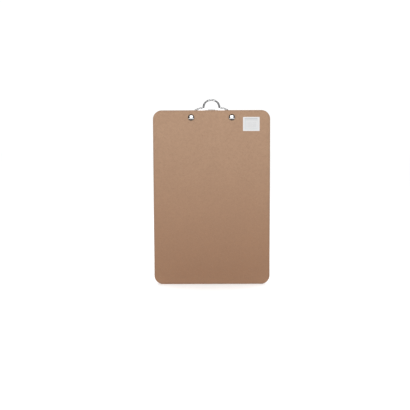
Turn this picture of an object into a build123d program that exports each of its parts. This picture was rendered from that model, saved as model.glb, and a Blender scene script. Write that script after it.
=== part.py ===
from build123d import *

import os
from math import asin, atan2, cos, degrees, hypot, pi, radians, sin, sqrt

# Foolscap hardboard clipboard with a sprung butterfly clip. The board stands upright: X across it,
# Z up it, and +Y out of its writing face. The origin is the centre of its bottom edge.

# Board
board_width = 230.0
board_height = 345.0
board_thickness = 3.0
corner_radius = 17.5
board_edge_round = 0.5
front_face = board_thickness / 2
back_face = -board_thickness / 2

# Clip: where its hinge lies, and the pressed sheet that it is made of
sheet = 1.0
pivot_below_top = 14.0
pivot_height = 9.0
pivot_y = front_face + pivot_height
pivot_z = board_height - pivot_below_top
barrel_half_width = 32.0
barrel_radius = 8.5

# Jaw: the part of the pressing below the hinge, measured from the pivot
jaw_drop = 34.0
jaw_half_width = 60.0
jaw_neck_length = 8.0
jaw_flare_end = 24.0
jaw_neck_round = 12.0
jaw_wing_round = 6.0
jaw_corner_round = 2.5
lip_radius = 1.2
paper_gap = 0.1
rib_length = 92.0
rib_width = 3.0
rib_height = 0.6
rib_edge_round = 0.5
rib_from_lip = 7.5

# Lever: the part above the hinge, which carries the hanging ring
crest_angle = 8.0
bend_radius = 7.0
lever_angle = 25.0
lever_half_width = 32.4
ring_radius = 15.75
ring_centre = 17.45
rim_radius = 1.85
rim_end_radius = 1.88
shoulder_radius = 50.0
shoulder_centre_x = 8.8
shoulder_centre_s = -33.7
shoulder_corner_round = 3.5
ring_neck_round = 2.2
window_radius = 14.9
window_bottom = 8.5
window_corner_round = 8.8

# Cheeks that carry the jaw on the rod
cheek_bottom = 4.0
cheek_front = 8.0
cheek_heel_rise = 2.1
cheek_on_jaw = 4.0
cheek_on_lever = 7.0
stop_angle = 36.0

# Rod
rod_radius = 1.75
rod_clearance = 0.06
rod_head_radius = 2.7
rod_head_length = 1.0
rod_end_play = 0.25

# Base plate
rivet_spacing = 80.0
rivet_shank_radius = 2.3
ear_radius = 9.0
base_half_width = 32.5
base_rear = 12.5
base_corner_round = 2.5
lug_face = 28.5
lug_radius = 4.0
lug_window_length = 10.5
hook_half_width = 7.0
hook_reach = 1.3
hook_height = 4.0
hook_bend_radius = 0.9
stop_tab_centre = 18.0
stop_tab_width = 9.0
stop_tab_height = 3.5

# Rivets
rivet_head_radius = 5.5
rivet_head_height = 2.0
rivet_crown_radius = 17.0
rivet_edge_round = 1.5
clench_radius = 3.9
clench_height = 1.3
clench_hollow_radius = 1.5
clench_hollow_depth = 0.8

# Torsion spring
wire_radius = 0.8
wire_bend_swell = 0.02
coil_radius = 3.35
coil_pitch = 1.7
coil_turns = 10
bight_half_width = 6.2
lever_leg = 15.0
touch_gap = 0.08

# Sticker on the back
label_width = 32.6
label_height = 27.4
label_thickness = 0.1
label_corner_round = 0.8
label_from_right = 37.0
label_below_top = 27.1

# The side view: its first axis is +Y and its second +Z, both from the pivot, and it faces +X
side_view = Plane(origin=(0, pivot_y, pivot_z), x_dir=(0, 1, 0), z_dir=(1, 0, 0))

# The jaw slopes from the barrel down to the writing face
lip_rise = paper_gap + lip_radius - pivot_height
jaw_reach = hypot(jaw_drop, lip_rise)
jaw_angle = degrees(atan2(-lip_rise, jaw_drop) + asin(barrel_radius / jaw_reach))
jaw_length = sqrt(jaw_reach**2 - barrel_radius**2)

# The lever starts where the bend behind the barrel turns it up
bend_y = (barrel_radius + bend_radius) * cos(radians(crest_angle))
bend_z = (barrel_radius + bend_radius) * sin(radians(crest_angle))
lever_foot_y = bend_y - bend_radius * cos(radians(lever_angle))
lever_foot_z = bend_z + bend_radius * sin(radians(lever_angle))


def slab(sketch, y_low, y_high):
    """A plate of a sketch drawn in X and Z, between two heights in Y."""
    plane = Plane(origin=(0, y_high, 0), x_dir=(1, 0, 0), z_dir=(0, -1, 0))
    return extrude(plane * sketch, amount=y_high - y_low)


def both_sides(shape):
    """A shape together with its mirror image across the middle of the board."""
    return shape + mirror(shape, about=Plane.YZ)


def wire_run(start, end):
    """A straight run of spring wire, round and slightly swollen where it bends at both ends."""
    run = Plane(start, z_dir=end - start) * Cylinder(
        wire_radius, (end - start).length, align=(Align.CENTER, Align.CENTER, Align.MIN)
    )
    bend = Sphere(wire_radius + wire_bend_swell)
    return run + Pos(start) * bend + Pos(end) * bend


def rivet_points():
    """Where the two rivets stand, in X and Z."""
    return [(-rivet_spacing / 2, pivot_z), (rivet_spacing / 2, pivot_z)]


def make_board():
    """Hardboard panel with rounded corners, softened edges and two rivet holes."""
    outline = Pos(0, board_height / 2) * RectangleRounded(board_width, board_height, corner_radius)
    panel = slab(outline, back_face, front_face)
    rims = panel.faces().sort_by(Axis.Y)[0].edges() + panel.faces().sort_by(Axis.Y)[-1].edges()
    panel = fillet(rims, board_edge_round)
    for x, z in rivet_points():
        panel -= slab(Pos(x, z) * Circle(rivet_shank_radius), back_face, front_face)
    return panel


def make_label():
    """Small paper sticker on the back, near the top right corner."""
    outline = RectangleRounded(label_width, label_height, label_corner_round)
    place = Pos(board_width / 2 - label_from_right, board_height - label_below_top)
    return slab(place * outline, back_face - label_thickness, back_face)


def make_rivet(x, z):
    """Semi-tubular rivet: crowned head on the back, shank, and clenched head on the base plate."""
    upward = (Align.CENTER, Align.CENTER, Align.MIN)
    behind = Plane(origin=(x, back_face, z), z_dir=(0, -1, 0))
    head = Cylinder(rivet_head_radius, rivet_head_height, align=upward)
    head = fillet(head.faces().sort_by(Axis.Z)[-1].edges(), rivet_edge_round)
    head &= Pos(0, 0, rivet_head_height - rivet_crown_radius) * Sphere(rivet_crown_radius)
    ahead = Plane(origin=(x, front_face + sheet, z), z_dir=(0, 1, 0))
    clench = Cylinder(clench_radius, clench_height, align=upward)
    clench = fillet(clench.faces().sort_by(Axis.Z)[-1].edges(), clench_height / 2)
    hollow = Pos(0, 0, clench_height - clench_hollow_depth)
    clench -= hollow * Cylinder(clench_hollow_radius, clench_hollow_depth, align=upward)
    shank = slab(Pos(x, z) * Circle(rivet_shank_radius), back_face, front_face + sheet)
    return behind * head + shank + ahead * clench


def make_lug():
    """Ear lanced up from the base plate to hold the rod, on the right-hand side."""
    outline = Circle(lug_radius)
    stem_height = pivot_height - sheet / 2
    outline += Pos(-stem_height / 2, 0) * Rectangle(stem_height, 2 * lug_radius)
    outline -= Circle(rod_radius)
    return extrude(side_view.offset(lug_face) * outline, amount=sheet)


def make_base_plate():
    """Sheet riveted to the writing face, with rod lugs, spring hook and paper stops."""
    base_front = ear_radius
    body = Pos(0, (base_rear - base_front) / 2) * Rectangle(
        2 * base_half_width, base_rear + base_front
    )
    body = fillet(body.vertices().group_by(Axis.Y)[-1], base_corner_round)
    outline = body + SlotCenterToCenter(rivet_spacing, 2 * ear_radius)
    hook_end = pivot_below_top + hook_reach
    outline += Pos(0, hook_end / 2) * Rectangle(2 * hook_half_width, hook_end)
    for side in (-1, 1):
        window_x = side * (lug_face - lug_window_length / 2)
        outline -= Pos(window_x, 0) * Rectangle(lug_window_length, 2 * lug_radius)
        outline -= Pos(side * rivet_spacing / 2, 0) * Circle(rivet_shank_radius)
    plate = slab(Pos(0, pivot_z) * outline, front_face, front_face + sheet)
    hook = Pos(0, pivot_z + hook_end - sheet / 2) * Rectangle(2 * hook_half_width, sheet)
    plate += slab(hook, front_face, front_face + hook_height)
    bend = plate.edges().filter_by(Axis.X).sort_by_distance((0, front_face, pivot_z + hook_end))[0]
    plate = fillet(bend, hook_bend_radius)
    for side in (-1, 1):
        tab_place = Pos(side * stop_tab_centre, pivot_z - base_front + sheet / 2)
        tab = tab_place * Rectangle(stop_tab_width, sheet)
        plate += slab(tab, front_face, front_face + sheet + stop_tab_height)
    return plate + both_sides(make_lug())


def make_pivot_rod():
    """Steel rod through the lugs and cheeks, with a peened head at each end."""
    head_face = barrel_half_width + rod_end_play
    shaft = extrude(side_view * Circle(rod_radius), amount=head_face, both=True)
    head = extrude(side_view.offset(head_face) * Circle(rod_head_radius), amount=rod_head_length)
    head = fillet(head.faces().sort_by(Axis.X)[-1].edges(), rod_head_length / 2)
    return shaft + both_sides(head)


def side_point(x, y, z):
    """A point given by its place across the board and its distances from the pivot."""
    return Vector(x, pivot_y + y, pivot_z + z)


def bight_corner(x):
    """A corner of the spring's bight, which lies on the base plate inside its hook."""
    bight_y = sheet + wire_radius + touch_gap - pivot_height
    bight_z = pivot_below_top + hook_reach - sheet - wire_radius - touch_gap
    return side_point(x, bight_y, bight_z)


def make_spring_side():
    """Right-hand half of the torsion spring, from the corner of its bight to its lever leg."""
    corner = bight_corner(bight_half_width)
    bight_y = corner.Y - pivot_y
    bight_z = corner.Z - pivot_z
    bight_angle = atan2(-bight_y, bight_z) - asin(coil_radius / hypot(bight_y, bight_z))
    lever_offset = lever_foot_y * cos(radians(lever_angle)) - lever_foot_z * sin(radians(lever_angle))
    leg_offset = lever_offset - sheet / 2 - wire_radius - touch_gap
    leg_slope = asin(leg_offset / hypot(coil_radius, lever_leg)) - atan2(coil_radius, lever_leg)
    leg_angle = radians(lever_angle) + leg_slope
    turns = coil_turns + (pi - leg_angle - bight_angle) / (2 * pi)
    coil_end = bight_half_width + turns * coil_pitch

    start = side_point(
        bight_half_width, -coil_radius * cos(bight_angle), -coil_radius * sin(bight_angle)
    )
    coil_plane = Plane(
        origin=(bight_half_width, pivot_y, pivot_z),
        x_dir=(0, -cos(bight_angle), -sin(bight_angle)),
        z_dir=(1, 0, 0),
    )
    path = coil_plane * Helix(coil_pitch, turns * coil_pitch, coil_radius)
    coil = sweep(Plane(path @ 0, z_dir=path % 0) * Circle(wire_radius), path=path)
    off = side_point(coil_end, coil_radius * cos(leg_angle), -coil_radius * sin(leg_angle))
    tip = off + Vector(0, sin(leg_angle), cos(leg_angle)) * lever_leg
    return coil + wire_run(start, corner) + wire_run(off, tip)


def make_torsion_spring():
    """Double torsion spring: two coils on the rod, joined by a bight held in the base plate."""
    bight = wire_run(bight_corner(-bight_half_width), bight_corner(bight_half_width))
    return both_sides(make_spring_side()) + bight


def make_jaw_plate():
    """Flared plate that slopes from the barrel to the rolled lip, with one pressed rib."""
    slope = radians(jaw_angle)
    plane = Plane(
        origin=side_point(0, barrel_radius * cos(slope), -barrel_radius * sin(slope)),
        x_dir=(1, 0, 0),
        z_dir=(0, cos(slope), -sin(slope)),
    )
    half = make_face(
        Polyline(
            (0, 0),
            (barrel_half_width, 0),
            (barrel_half_width, jaw_neck_length),
            (jaw_half_width, jaw_flare_end),
            (jaw_half_width, jaw_length),
            (0, jaw_length),
            close=True,
        )
    )
    rounds = [
        (barrel_half_width, jaw_neck_length, jaw_neck_round),
        (jaw_half_width, jaw_flare_end, jaw_wing_round),
        (jaw_half_width, jaw_length, jaw_corner_round),
    ]
    for x, t, radius in rounds:
        half = fillet(half.vertices().sort_by_distance((x, t))[0], radius)
    plate = extrude(plane * both_sides(half), amount=sheet / 2, both=True)
    lip = Rot(0, 90, 0) * Cylinder(lip_radius, 2 * (jaw_half_width - jaw_corner_round) - sheet)
    rib = extrude(SlotOverall(rib_length, rib_width), amount=sheet / 2 + rib_height)
    rib = fillet(rib.faces().sort_by(Axis.Z)[-1].edges(), rib_edge_round)
    return plate + plane * Pos(0, jaw_length) * lip + plane * Pos(0, jaw_length - rib_from_lip) * rib


def make_barrel():
    """Sheet rolled over the rod, then bent back up to the foot of the lever."""
    outer = barrel_radius + sheet / 2
    inner = barrel_radius - sheet / 2
    wrap = jaw_angle + crest_angle
    turn = crest_angle + lever_angle
    bend = (bend_y, bend_z)
    outer_wrap = CenterArc((0, 0), outer, -jaw_angle, wrap)
    inner_wrap = CenterArc((0, 0), inner, -jaw_angle, wrap)
    outer_bend = CenterArc(bend, bend_radius - sheet / 2, 180 + crest_angle, -turn)
    inner_bend = CenterArc(bend, bend_radius + sheet / 2, 180 + crest_angle, -turn)
    profile = make_face(
        [
            outer_wrap,
            outer_bend,
            Line(outer_bend @ 1, inner_bend @ 1),
            inner_bend,
            inner_wrap,
            Line(inner_wrap @ 0, outer_wrap @ 0),
        ]
    )
    return extrude(side_view * profile, amount=barrel_half_width, both=True)


def make_lever():
    """Lever plate with a rolled rim that runs up over its shoulders and round the hanging ring."""
    slope = radians(lever_angle)
    plane = Plane(
        origin=side_point(0, lever_foot_y, lever_foot_z),
        x_dir=(1, 0, 0),
        z_dir=(0, -cos(slope), sin(slope)),
    )
    shoulder = Pos(shoulder_centre_x, shoulder_centre_s) * Circle(shoulder_radius)
    shoulder &= Pos(lever_half_width / 2, ring_centre / 2) * Rectangle(lever_half_width, ring_centre)
    outline = both_sides(shoulder) + Pos(0, ring_centre) * Circle(ring_radius)
    corners = outline.vertices().group_by(Axis.Y)[1]
    outline = fillet(corners, shoulder_corner_round)
    necks = [
        outline.vertices().sort_by_distance((side * ring_radius, ring_centre - rim_radius))[0]
        for side in (-1, 1)
    ]
    outline = fillet(necks, ring_neck_round)
    window = Pos(0, (window_bottom + ring_centre) / 2) * Rectangle(
        2 * window_radius, ring_centre - window_bottom
    )
    window = fillet(window.vertices().group_by(Axis.Y)[0], window_corner_round)
    window += Pos(0, ring_centre) * Circle(window_radius)
    plate = extrude(plane * (outline - window), amount=sheet / 2, both=True)
    rim_edges = [edge for edge in outline.face().outer_wire().edges() if edge.center().Y > sheet]
    path = plane * Wire(rim_edges)
    rim = sweep(Plane(path @ 0, z_dir=path % 0) * Circle(rim_radius), path=path)
    rim += Pos(path @ 0) * Sphere(rim_end_radius) + Pos(path @ 1) * Sphere(rim_end_radius)
    return plate + rim


def make_cheek():
    """Flange turned down inside the right-hand end of the barrel, bored for the rod."""
    jaw_slope = radians(jaw_angle)
    lever_slope = radians(lever_angle)
    stop = radians(stop_angle)
    base_top = pivot_height - sheet
    heel_z = (base_top - cheek_bottom * cos(stop)) / sin(stop)
    heel_top = cheek_heel_rise - cheek_bottom
    heel_top_z = (base_top + heel_top * cos(stop)) / sin(stop)
    on_jaw = (
        barrel_radius * cos(jaw_slope) - cheek_on_jaw * sin(jaw_slope),
        -barrel_radius * sin(jaw_slope) - cheek_on_jaw * cos(jaw_slope),
    )
    on_lever = (
        lever_foot_y + cheek_on_lever * sin(lever_slope),
        lever_foot_z + cheek_on_lever * cos(lever_slope),
    )
    outline = make_face(
        Polyline(
            on_jaw,
            (-cheek_bottom, -cheek_front),
            (-cheek_bottom, heel_z),
            (heel_top, heel_top_z),
            on_lever,
            (lever_foot_y, lever_foot_z),
            close=True,
        )
    )
    disc = Circle(barrel_radius) & Pos(barrel_radius - cheek_bottom, 0) * Rectangle(
        2 * barrel_radius, 2 * barrel_radius
    )
    outline += disc
    outline -= Circle(rod_radius + rod_clearance)
    return extrude(side_view.offset(barrel_half_width - sheet) * outline, amount=sheet)


def make_jaw():
    """The moving pressing: jaw, barrel, cheeks and lever in one piece of sheet."""
    return make_jaw_plate() + make_barrel() + make_lever() + both_sides(make_cheek())


def main():
    os.makedirs("parts", exist_ok=True)
    left, right = rivet_points()
    parts = {
        "board": make_board(),
        "clip_base_plate": make_base_plate(),
        "clip_jaw": make_jaw(),
        "pivot_rod": make_pivot_rod(),
        "torsion_spring": make_torsion_spring(),
        "rivet_left": make_rivet(*left),
        "rivet_right": make_rivet(*right),
        "barcode_label": make_label(),
    }
    for node, shape in parts.items():
        export_step(shape, f"parts/{node}.step")


main()
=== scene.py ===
import math

import bmesh
import bpy
from mathutils import Matrix, Vector


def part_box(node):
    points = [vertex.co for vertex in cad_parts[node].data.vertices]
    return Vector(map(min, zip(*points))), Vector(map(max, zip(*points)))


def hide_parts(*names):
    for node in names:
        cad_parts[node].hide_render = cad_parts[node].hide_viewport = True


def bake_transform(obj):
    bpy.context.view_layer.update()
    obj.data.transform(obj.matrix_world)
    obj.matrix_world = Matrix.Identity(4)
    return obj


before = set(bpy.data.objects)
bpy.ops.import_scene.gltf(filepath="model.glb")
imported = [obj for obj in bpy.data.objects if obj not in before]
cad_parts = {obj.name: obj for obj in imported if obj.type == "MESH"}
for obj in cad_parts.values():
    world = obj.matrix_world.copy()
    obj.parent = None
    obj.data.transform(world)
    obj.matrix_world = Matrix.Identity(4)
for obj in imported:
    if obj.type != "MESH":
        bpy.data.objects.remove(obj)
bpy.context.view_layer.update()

# Everything is in metres, in the row frame: +Z is up, and the board's back faces -Y.
MM = 0.001
UP, DOWN = (0, 0, 1), (0, 0, -1)
LEFT, RIGHT = (-1, 0, 0), (1, 0, 0)

BOARD_LOW, BOARD_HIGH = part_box("board")
LABEL_LOW, LABEL_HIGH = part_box("barcode_label")
RIVET_LOW, RIVET_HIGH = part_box("rivet_right")
ROD_LOW, ROD_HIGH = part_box("pivot_rod")
RIVET_CENTRE = (RIVET_LOW + RIVET_HIGH) / 2
PIVOT = (ROD_LOW + ROD_HIGH) / 2

# Camera: it looks at the middle of the board's back from a little above.
CAMERA_ELEVATION = math.radians(5.28)
CAMERA_AZIMUTH = math.radians(0.39)
CAMERA_ROLL = math.radians(-0.23)
CAMERA_DISTANCE = 1.5
CAMERA_OFFSET = Vector((-0.01342, 0, -0.01388))
CAMERA_LENS = 66.5
CAMERA_SENSOR = 36

# Spring: a double torsion spring of round wire. Its bight hooks the base plate and its legs press the lever.
# The bight's place is measured from the rod.
WIRE_RADIUS = 0.8 * MM
COIL_RADIUS = 3.35 * MM
COIL_PITCH = 1.7 * MM
BIGHT_HALF_WIDTH = 6.2 * MM
BIGHT_BEND = 1.6 * MM
BIGHT_Y, BIGHT_Z = -7.12 * MM, 13.42 * MM
BIGHT_ANGLE = math.radians(15.2)
LEG_ANGLE = math.radians(29.9)
LEG_LENGTH = 15 * MM
LEG_TURNS = 11
HELIX_STEPS = 36
BEND_STEPS = 8
WIRE_SIDES = 16

# Studio: the brightness of the room, and the size and grey tones of the floor and the cards.
ROOM_STRENGTH = 1.05
FLOOR_SIZE = 24
FLOOR_TONE = 0.96
DARK_TONE, GREY_TONE = 0.02, 0.14


# ---------------------------------------------------------------- materials


class Shader:
    """A node material with one Principled surface, and short calls for the nodes that feed it."""

    def __init__(self, name):
        self.material = bpy.data.materials.new(name)
        self.material.use_nodes = True
        self.tree = self.material.node_tree
        self.tree.nodes.clear()
        self.surface = self.add("ShaderNodeBsdfPrincipled")
        output = self.add("ShaderNodeOutputMaterial")
        self.tree.links.new(self.surface.outputs["BSDF"], output.inputs["Surface"])
        coordinates = self.add("ShaderNodeTexCoord")
        self.place = coordinates.outputs["Object"]
        self.normal = coordinates.outputs["Normal"]

    def add(self, kind):
        return self.tree.nodes.new(kind)

    def put(self, socket, value):
        """Links value to the socket if it is an output, and otherwise sets it."""
        if isinstance(value, bpy.types.NodeSocket):
            self.tree.links.new(value, socket)
        else:
            socket.default_value = value

    def surface_is(self, **values):
        """Sets or links inputs of the surface: base_color is "Base Color" and so on."""
        for name, value in values.items():
            self.put(self.surface.inputs[name.replace("_", " ").title()], value)

    def math(self, operation, a, b=0.0):
        node = self.add("ShaderNodeMath")
        node.operation = operation
        self.put(node.inputs[0], a)
        self.put(node.inputs[1], b)
        return node.outputs[0]

    def times(self, a, b):
        return self.math("MULTIPLY", a, b)

    def plus(self, a, b):
        return self.math("ADD", a, b)

    def minus(self, a, b):
        return self.math("SUBTRACT", a, b)

    def size_of(self, a):
        return self.math("ABSOLUTE", a)

    def largest(self, first, *others):
        for other in others:
            first = self.math("MAXIMUM", first, other)
        return first

    def smallest(self, first, *others):
        for other in others:
            first = self.math("MINIMUM", first, other)
        return first

    def part(self, vector, axis):
        """One component of a vector: axis is X, Y or Z."""
        node = self.add("ShaderNodeSeparateXYZ")
        self.put(node.inputs[0], vector)
        return node.outputs["XYZ".index(axis)]

    def grain(self, size, turn):
        """Coordinates in units of size along each axis, after a turn in the board's plane, in degrees."""
        node = self.add("ShaderNodeMapping")
        node.vector_type = "TEXTURE"
        self.put(node.inputs["Vector"], self.place)
        node.inputs["Rotation"].default_value = (0, math.radians(turn), 0)
        node.inputs["Scale"].default_value = size
        return node.outputs[0]

    def noise(self, size, detail=2.0, roughness=0.5, turn=0.0):
        """Smooth noise from 0 to 1. size is in metres, one number or three."""
        sizes = (size, size, size) if isinstance(size, float) else size
        node = self.add("ShaderNodeTexNoise")
        self.put(node.inputs["Vector"], self.grain(sizes, turn))
        node.inputs["Scale"].default_value = 1.0
        node.inputs["Detail"].default_value = detail
        node.inputs["Roughness"].default_value = roughness
        return node.outputs["Fac"]

    def spots(self, spacing, outer, inner):
        """1 at scattered points and 0 away from them. outer and inner are radii in units of spacing."""
        node = self.add("ShaderNodeTexVoronoi")
        self.put(node.inputs["Vector"], self.grain((spacing, spacing, spacing), 0.0))
        node.inputs["Scale"].default_value = 1.0
        return self.fade(node.outputs["Distance"], outer, inner)

    def fade(self, value, start, end, low=0.0, high=1.0):
        """low up to start, high from end, and a smooth change between them."""
        node = self.add("ShaderNodeMapRange")
        node.interpolation_type = "SMOOTHSTEP"
        self.put(node.inputs["Value"], value)
        node.inputs["From Min"].default_value = start
        node.inputs["From Max"].default_value = end
        node.inputs["To Min"].default_value = low
        node.inputs["To Max"].default_value = high
        return node.outputs["Result"]

    def band(self, value, low, high):
        """1 between low and high, 0 outside."""
        return self.times(self.math("GREATER_THAN", value, low), self.math("LESS_THAN", value, high))

    def blend(self, factor, a, b):
        """Mixes colour a towards b."""
        node = self.add("ShaderNodeMix")
        node.data_type = "RGBA"
        self.put(node.inputs["Factor"], factor)
        self.put(node.inputs[6], a if isinstance(a, bpy.types.NodeSocket) else (*a, 1))
        self.put(node.inputs[7], b if isinstance(b, bpy.types.NodeSocket) else (*b, 1))
        return node.outputs[2]

    def stain(self, tone, where, amount, colour):
        """Mixes tone towards colour, by amount where the mask is 1."""
        return self.blend(self.times(where, amount), tone, colour)

    def bump(self, height, depth, strength):
        """Sets the surface's normal from height, where 0 to 1 is depth in metres."""
        node = self.add("ShaderNodeBump")
        node.inputs["Strength"].default_value = strength
        node.inputs["Distance"].default_value = depth
        self.put(node.inputs["Height"], height)
        self.put(self.surface.inputs["Normal"], node.outputs["Normal"])


def hardboard():
    """Pressed brown fibreboard: fine fibres that lie in every direction, soft clouds of tone, dark specks and
    raw, darker edges. The tone is paler towards the top and darker at the foot: painted light from above."""
    # shaded_foot_brown and lit_top_brown are painted light: a darker foot and a paler top, as if lit from
    # above.
    shaded_foot_brown, lit_top_brown = (0.310, 0.160, 0.083), (0.379, 0.229, 0.135)
    cloud_brown, mottle_brown = (0.275, 0.150, 0.083), (0.268, 0.152, 0.089)
    pale_fibre, dark_fibre = (0.430, 0.268, 0.172), (0.180, 0.098, 0.056)
    dust_brown, speck_brown = (0.235, 0.132, 0.078), (0.105, 0.060, 0.036)
    # The rivet ring colour is part crush stain and part painted shade round the rivet heads.
    handled_brown, crushed_and_shaded_brown = (0.205, 0.122, 0.076), (0.085, 0.052, 0.034)
    dark_ply, pale_ply = (0.175, 0.098, 0.057), (0.262, 0.155, 0.094)
    fibre_size = (5 * MM, 0.45 * MM, 0.4 * MM)
    fibre_turns = (14, 78, 137)
    ply_size = (2.2 * MM, 0.25 * MM, 2.2 * MM)

    s = Shader("hardboard")
    clouds = s.noise(55 * MM, detail=3)
    mottle = s.noise(5 * MM, detail=4, roughness=0.6)
    dust = s.noise(0.45 * MM, detail=3, roughness=0.7)
    fibres = [s.noise(fibre_size, detail=3, roughness=0.6, turn=turn) for turn in fibre_turns]
    streaks = s.largest(*fibres)
    hollows = s.smallest(*fibres)
    specks = s.times(s.spots(7 * MM, 0.075, 0.045), s.fade(clouds, 0.44, 0.5))

    # Painted light: the base tone runs from a shaded foot to a lit top.
    tone = s.blend(s.fade(s.part(s.place, "Z"), BOARD_LOW.z, BOARD_HIGH.z), shaded_foot_brown, lit_top_brown)
    tone = s.stain(tone, s.fade(clouds, 0.3, 0.7), 0.12, cloud_brown)
    tone = s.stain(tone, s.fade(mottle, 0.35, 0.68), 0.24, mottle_brown)
    tone = s.stain(tone, s.fade(streaks, 0.60, 0.78), 0.55, pale_fibre)
    tone = s.stain(tone, s.fade(hollows, 0.40, 0.24), 0.6, dark_fibre)
    tone = s.stain(tone, s.fade(dust, 0.42, 0.66), 0.3, dust_brown)
    tone = s.stain(tone, specks, 0.6, speck_brown)
    tone = s.stain(tone, handled_rim(s), 0.22, handled_brown)
    # A crush stain and painted shade in a narrow ring round each rivet head.
    tone = s.stain(tone, crushed_and_shaded_ring(s), 0.8, crushed_and_shaded_brown)

    edge = s.fade(s.size_of(s.part(s.normal, "Y")), 0.85, 0.45)
    plies = s.noise(ply_size, detail=4, roughness=0.65)
    tone = s.blend(edge, tone, s.blend(s.fade(plies, 0.35, 0.65), dark_ply, pale_ply))

    face_roughness = s.fade(s.plus(mottle, dust), 0.7, 1.3, 0.40, 0.54)
    s.surface_is(base_color=tone, roughness=s.largest(face_roughness, s.times(edge, 0.82)))
    relief = s.plus(s.times(streaks, 0.6), s.times(dust, 0.4))
    relief = s.plus(relief, s.times(s.times(plies, edge), 2.0))
    s.bump(relief, depth=0.12 * MM, strength=0.55)
    return s.material


def handled_rim(s):
    """1 along the board's outline, where hands have darkened it, and 0 from rim_width in."""
    rim_width = 6 * MM
    middle = BOARD_HIGH.z / 2
    across = s.size_of(s.part(s.place, "X"))
    along = s.size_of(s.minus(s.part(s.place, "Z"), middle))
    wander = s.times(s.minus(s.noise(9 * MM, detail=3), 0.5), rim_width)
    at_side = s.fade(s.plus(across, wander), BOARD_HIGH.x - rim_width, BOARD_HIGH.x)
    at_end = s.fade(s.plus(along, wander), middle - rim_width, middle)
    return s.largest(at_side, at_end)


def crushed_and_shaded_ring(s):
    """1 in a narrow ring round each rivet head, where the board is crushed and stained, and where painted
    shade darkens the crease at the head's edge.
    """
    ring_start, ring_end = 0.1 * MM, 1.7 * MM
    head_radius = RIVET_HIGH.x - RIVET_CENTRE.x
    across = s.minus(s.size_of(s.part(s.place, "X")), RIVET_CENTRE.x)
    up = s.minus(s.part(s.place, "Z"), RIVET_CENTRE.z)
    radius = s.math("SQRT", s.plus(s.times(across, across), s.times(up, up)))
    return s.fade(radius, head_radius + ring_end, head_radius + ring_start)


def plating(name, bright, dull, gloss, worn):
    """Plate over pressed steel, with hazy patches, hairline scratches, pits and slight orange peel.
    bright and dull are its colours, and gloss and worn its roughness, in clear and in hazy places."""
    pit_brown = (0.20, 0.19, 0.18)
    scratch_size = (14 * MM, 0.12 * MM, 0.12 * MM)
    scratch_turns = (24, 101, 160)

    s = Shader(name)
    haze = s.noise(11 * MM, detail=4, roughness=0.6)
    peel = s.noise(1.6 * MM)
    scratches = s.largest(*(s.noise(scratch_size, turn=turn) for turn in scratch_turns))
    lines = s.fade(scratches, 0.70, 0.78)
    pits = s.times(s.spots(2.4 * MM, 0.085, 0.05), s.fade(haze, 0.52, 0.60))

    tone = s.blend(s.fade(haze, 0.35, 0.7), bright, dull)
    tone = s.stain(tone, pits, 0.6, pit_brown)
    rough = s.plus(s.fade(haze, 0.3, 0.75, gloss, worn), s.times(lines, 0.16))
    rough = s.plus(rough, s.times(pits, 0.25))
    s.surface_is(base_color=tone, metallic=1.0, roughness=rough)
    relief = s.minus(s.times(peel, 0.5), s.times(s.largest(lines, pits), 0.35))
    s.bump(relief, depth=0.02 * MM, strength=0.45)
    return s.material


def turned_steel():
    """Plain drawn rod, with fine lines round it and a dull film."""
    clean, filmed, line = (0.56, 0.56, 0.55), (0.43, 0.42, 0.40), (0.66, 0.66, 0.65)

    s = Shader("turned_steel")
    rings = s.noise((0.10 * MM, 4 * MM, 4 * MM), detail=3, roughness=0.6)
    film = s.noise(4 * MM, detail=4, roughness=0.6)
    tone = s.blend(s.fade(film, 0.35, 0.7), clean, filmed)
    tone = s.stain(tone, s.fade(rings, 0.45, 0.7), 0.4, line)
    s.surface_is(base_color=tone, metallic=1.0, roughness=s.fade(rings, 0.3, 0.7, 0.24, 0.40))
    s.bump(rings, depth=0.02 * MM, strength=0.5)
    return s.material


def spring_wire():
    """Oiled spring steel: dark grey, with drawn streaks and a few brown spots."""
    pale, dark, rust = (0.50, 0.49, 0.47), (0.33, 0.32, 0.31), (0.20, 0.13, 0.09)

    s = Shader("spring_wire")
    streaks = s.noise((0.9 * MM, 0.25 * MM, 0.25 * MM), detail=4, roughness=0.65)
    spots = s.fade(s.noise(1.8 * MM, detail=4, roughness=0.7), 0.60, 0.70)
    tone = s.blend(s.fade(streaks, 0.35, 0.68), pale, dark)
    tone = s.stain(tone, spots, 0.5, rust)
    s.surface_is(base_color=tone, metallic=1.0, roughness=s.fade(streaks, 0.3, 0.7, 0.22, 0.38))
    s.bump(streaks, depth=0.015 * MM, strength=0.5)
    return s.material


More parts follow.
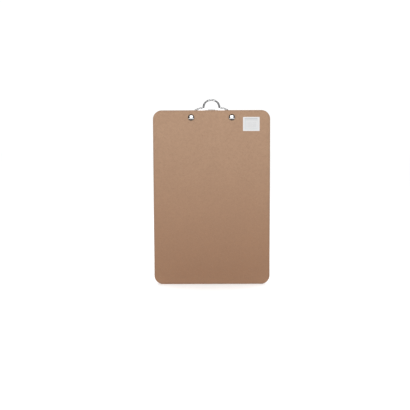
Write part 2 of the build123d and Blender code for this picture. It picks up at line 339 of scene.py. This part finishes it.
def printed_paper():
    """A semi-gloss paper sticker with a pale grey panel, a few rules and a block of thin bars.
    It has no lettering."""
    paper_grey, paper_white, aged = (0.60, 0.602, 0.612), (0.645, 0.647, 0.65), (0.62, 0.58, 0.52)
    panel_grey, heading_grey, rule_grey = (0.52, 0.53, 0.535), (0.38, 0.40, 0.43), (0.30, 0.32, 0.35)
    bar_ink, teal_ink = (0.20, 0.21, 0.23), (0.30, 0.44, 0.47)
    bar_width = 0.38
    blank_share = 0.62

    # Places on the sticker are in millimetres from its lower left corner.
    wide = (LABEL_HIGH.x - LABEL_LOW.x) / MM
    high = (LABEL_HIGH.z - LABEL_LOW.z) / MM

    s = Shader("printed_paper")
    across = s.times(s.minus(s.part(s.place, "X"), LABEL_LOW.x), 1 / MM)
    up = s.times(s.minus(s.part(s.place, "Z"), LABEL_LOW.z), 1 / MM)

    def area(left, right, foot, head):
        return s.times(s.band(across, left, right), s.band(up, foot, head))

    chance = s.add("ShaderNodeTexWhiteNoise")
    chance.noise_dimensions = "1D"
    s.put(chance.inputs["W"], s.math("FLOOR", s.math("DIVIDE", across, bar_width)))
    bars = s.math("GREATER_THAN", chance.outputs["Value"], blank_share)
    barcode = s.times(bars, area(7.0, wide - 6.0, 7.0, 17.5))
    heading = area(3.6, wide - 4.0, high - 4.8, high - 2.7)
    rule = area(4.0, wide - 4.0, 20.2, 20.7)
    corner_rule = s.largest(area(4.2, wide - 4.2, 3.9, 4.5), area(4.2, 4.8, 3.9, high - 6.0))

    pulp = s.noise(0.5 * MM, detail=4, roughness=0.7)
    cast = s.noise(14 * MM)
    paper = s.blend(s.fade(pulp, 0.3, 0.7), paper_grey, paper_white)
    paper = s.stain(paper, area(2.4, wide - 2.2, 2.6, high - 2.0), 0.40, panel_grey)
    paper = s.stain(paper, barcode, 0.30, bar_ink)
    paper = s.stain(paper, heading, 0.78, heading_grey)
    paper = s.stain(paper, rule, 0.35, rule_grey)
    paper = s.stain(paper, corner_rule, 0.45, teal_ink)
    paper = s.stain(paper, s.fade(cast, 0.4, 0.7), 0.12, aged)

    s.surface_is(base_color=paper, roughness=s.fade(pulp, 0.3, 0.7, 0.38, 0.52))
    s.surface_is(coat_weight=0.15, coat_roughness=0.3)
    s.bump(pulp, depth=0.02 * MM, strength=0.4)
    return s.material


def plain(name, tone):
    """A matt grey finish for the floor and the cards."""
    s = Shader(name)
    s.surface_is(base_color=(tone, tone, tone, 1), roughness=1.0)
    s.surface.inputs["Specular IOR Level"].default_value = 0.0
    return s.material


def dress(node, material):
    """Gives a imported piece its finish."""
    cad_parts[node].data.materials.clear()
    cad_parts[node].data.materials.append(material)


# ---------------------------------------------------------------- spring


def spring_path():
    """The right half of the wire's centre line: half the bight, a leg, the coil and the leg on the lever."""
    bight = Vector((0, BIGHT_Y, BIGHT_Z))
    start_angle = math.pi + BIGHT_ANGLE
    end_angle = LEG_TURNS * 2 * math.pi - LEG_ANGLE
    coil_start = Vector((BIGHT_HALF_WIDTH, *on_coil(start_angle)))
    corner = bight + Vector((BIGHT_HALF_WIDTH, 0, 0))
    down = (coil_start - corner).normalized()
    outward = Vector((1, 0, 0))
    bend_centre = corner + (down - outward) * BIGHT_BEND
    points = [bight]
    for step in range(BEND_STEPS + 1):
        turn = math.pi / 2 * step / BEND_STEPS
        points.append(bend_centre + (outward * math.sin(turn) - down * math.cos(turn)) * BIGHT_BEND)
    steps = round((end_angle - start_angle) / (2 * math.pi) * HELIX_STEPS)
    for step in range(steps + 1):
        angle = start_angle + (end_angle - start_angle) * step / steps
        along = BIGHT_HALF_WIDTH + COIL_PITCH * (angle - start_angle) / (2 * math.pi)
        points.append(Vector((along, *on_coil(angle))))
    tip = points[-1] + Vector((0, math.sin(LEG_ANGLE), math.cos(LEG_ANGLE))) * LEG_LENGTH
    return [PIVOT + point for point in [*points, tip]]


def on_coil(angle):
    """Y and Z of a point on the coil, from its axis."""
    return COIL_RADIUS * math.cos(angle), COIL_RADIUS * math.sin(angle)


def wire(name, path):
    """A closed round tube along a path. Its rings are carried along without twist."""
    mesh = bmesh.new()
    rings = []
    across = Vector((0, 1, 0))
    for index, point in enumerate(path):
        before, after = path[max(index - 1, 0)], path[min(index + 1, len(path) - 1)]
        along = (after - before).normalized()
        across = (across - along * across.dot(along)).normalized()
        third = along.cross(across)
        rings.append([
            mesh.verts.new(point + (across * math.cos(turn) + third * math.sin(turn)) * WIRE_RADIUS)
            for turn in (2 * math.pi * side / WIRE_SIDES for side in range(WIRE_SIDES))
        ])
    for low, high in zip(rings, rings[1:]):
        for side in range(WIRE_SIDES):
            after = (side + 1) % WIRE_SIDES
            mesh.faces.new((low[side], low[after], high[after], high[side]))
    mesh.faces.new(reversed(rings[0]))
    mesh.faces.new(rings[-1])
    bmesh.ops.recalc_face_normals(mesh, faces=mesh.faces)
    return mesh_object(name, mesh)


def mesh_object(name, mesh):
    """Puts a mesh into the scene. Its four-sided faces are smooth and its end caps flat."""
    data = bpy.data.meshes.new(name)
    mesh.to_mesh(data)
    mesh.free()
    for face in data.polygons:
        face.use_smooth = len(face.vertices) == 4
    made = bpy.data.objects.new(name, data)
    bpy.context.scene.collection.objects.link(made)
    return made


def make_spring(material):
    """Both halves of the spring, from the bight on the base plate round the coil to the leg on the lever.
    They take the place of the imported spring, which is hidden.
    """
    for name, side in (("spring_left", -1), ("spring_right", 1)):
        path = [Vector((side * p.x, p.y, p.z)) for p in spring_path()]
        half = wire(name, path)
        half.data.materials.append(material)
        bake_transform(half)
        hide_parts("torsion_spring")


# ---------------------------------------------------------------- studio


def make_camera():
    """A camera behind the board, at the photo's angle."""
    azimuth, elevation, roll = CAMERA_AZIMUTH, CAMERA_ELEVATION, CAMERA_ROLL
    back = Vector((
        math.sin(azimuth) * math.cos(elevation),
        -math.cos(azimuth) * math.cos(elevation),
        math.sin(elevation),
    ))
    right = (-back).cross(Vector(UP)).normalized()
    up = right.cross(-back)
    rolled_right = right * math.cos(roll) + up * math.sin(roll)
    rolled_up = up * math.cos(roll) - right * math.sin(roll)
    target = Vector((0, BOARD_LOW.y, BOARD_HIGH.z / 2))
    data = bpy.data.cameras.new("camera")
    data.lens = CAMERA_LENS
    data.sensor_width = CAMERA_SENSOR
    camera = bpy.data.objects.new("camera", data)
    bpy.context.scene.collection.objects.link(camera)
    turn = Matrix((rolled_right, rolled_up, back)).transposed().to_4x4()
    camera.matrix_world = Matrix.Translation(target + back * CAMERA_DISTANCE + CAMERA_OFFSET) @ turn
    bpy.context.scene.camera = camera


def panel(name, centre, facing, wide, high, material):
    """A flat rectangle that faces a direction. It is part of the stage."""
    mesh = bmesh.new()
    corners = [(x * wide / 2, y * high / 2, 0) for x, y in ((-1, -1), (1, -1), (1, 1), (-1, 1))]
    mesh.faces.new([mesh.verts.new(corner) for corner in corners])
    made = mesh_object(name, mesh)
    turn = Vector(facing).to_track_quat("Z", "Y").to_matrix().to_4x4()
    made.matrix_world = Matrix.Translation(centre) @ turn
    made.data.materials.append(material)
    return made


def card(name, centre, facing, wide, high, material):
    """A card that only shows in polished metal."""
    made = panel(name, centre, facing, wide, high, material)
    made.visible_camera = False
    made.visible_diffuse = False
    made.visible_shadow = False


def softbox(name, centre, target, wide, high, power, mirrored=True, lights_board=True):
    """A rectangular light that shines on target. mirrored is whether it shows in polished metal, and
    lights_board whether it lights the matt surfaces."""
    data = bpy.data.lights.new(name, "AREA")
    data.shape = "RECTANGLE"
    data.size = wide
    data.size_y = high
    data.energy = power
    made = bpy.data.objects.new(name, data)
    bpy.context.scene.collection.objects.link(made)
    made.location = centre
    made.rotation_mode = "QUATERNION"
    made.rotation_quaternion = (Vector(target) - Vector(centre)).to_track_quat("-Z", "Y")
    made.visible_camera = False
    made.visible_glossy = mirrored
    made.visible_diffuse = lights_board


def make_room():
    """A pale floor in an even white room."""
    world = bpy.data.worlds.new("white_room")
    bpy.context.scene.world = world
    world.use_nodes = True
    background = world.node_tree.nodes["Background"]
    background.inputs["Color"].default_value = (1, 1, 1, 1)
    background.inputs["Strength"].default_value = ROOM_STRENGTH
    bpy.context.scene.view_settings.view_transform = "Standard"
    panel("floor", (0, 0, BOARD_LOW.z), UP, FLOOR_SIZE, FLOOR_SIZE, plain("pale_floor", FLOOR_TONE))


def make_cards():
    """Cards at both sides, overhead and on the floor, which give the metal its dark reflections."""
    dark = plain("dark_card", DARK_TONE)
    grey = plain("grey_card", GREY_TONE)
    card("card_left", (-1.1, 0, 0.9), RIGHT, wide=5.6, high=2.4, material=dark)
    card("card_right", (1.1, 0, 0.9), LEFT, wide=5.6, high=2.0, material=grey)
    card("card_top", (0, 0, 1.6), DOWN, wide=2.3, high=5.4, material=dark)
    card("card_low_back", (0, -0.45, 0.004), UP, wide=2.2, high=0.84, material=dark)
    card("card_low_front", (0, 0.12, 0.004), UP, wide=2.2, high=0.12, material=grey)


def make_lights():
    """Soft light from above on the board, and bright panels that the clip and rivets mirror."""
    foot = (0, 0, 0)
    middle = (0, 0, BOARD_HIGH.z / 2)
    clip = (0, 0, BOARD_HIGH.z)
    above_target = (0, 0, 0.25)
    for side, front_power in ((-1, 10), (1, 1)):
        softbox(
            f"light_front_{side}", (0, side * 2.4, 0.95), middle,
            wide=1.5, high=1.1, power=front_power, lights_board=False,
        )
        softbox(
            f"light_high_{side}", (0, side * 0.74, 1.25), clip,
            wide=0.2, high=0.25, power=0.5, lights_board=False,
        )
        softbox(
            f"light_above_{side}", (0, side * 0.45, 0.75), above_target,
            wide=1.4, high=0.3, power=0.9, mirrored=False,
        )
    softbox("light_down", (0, 0, 1.55), foot, wide=1.6, high=1.6, power=9, mirrored=False)


# ---------------------------------------------------------------- scene


make_camera()
make_room()
make_cards()
make_lights()

bright_plate = plating(
    "bright_plate", bright=(0.64, 0.645, 0.655), dull=(0.605, 0.61, 0.615), gloss=0.06, worn=0.12,
)
dull_plate = plating(
    "dull_plate", bright=(0.43, 0.43, 0.42), dull=(0.37, 0.37, 0.36), gloss=0.24, worn=0.34,
)
rivet_plate = plating(
    "rivet_plate", bright=(0.70, 0.70, 0.70), dull=(0.64, 0.64, 0.64), gloss=0.05, worn=0.11,
)
dress("board", hardboard())
dress("clip_jaw", bright_plate)
dress("clip_base_plate", dull_plate)
dress("rivet_left", rivet_plate)
dress("rivet_right", rivet_plate)
dress("pivot_rod", turned_steel())
dress("barcode_label", printed_paper())
make_spring(spring_wire())
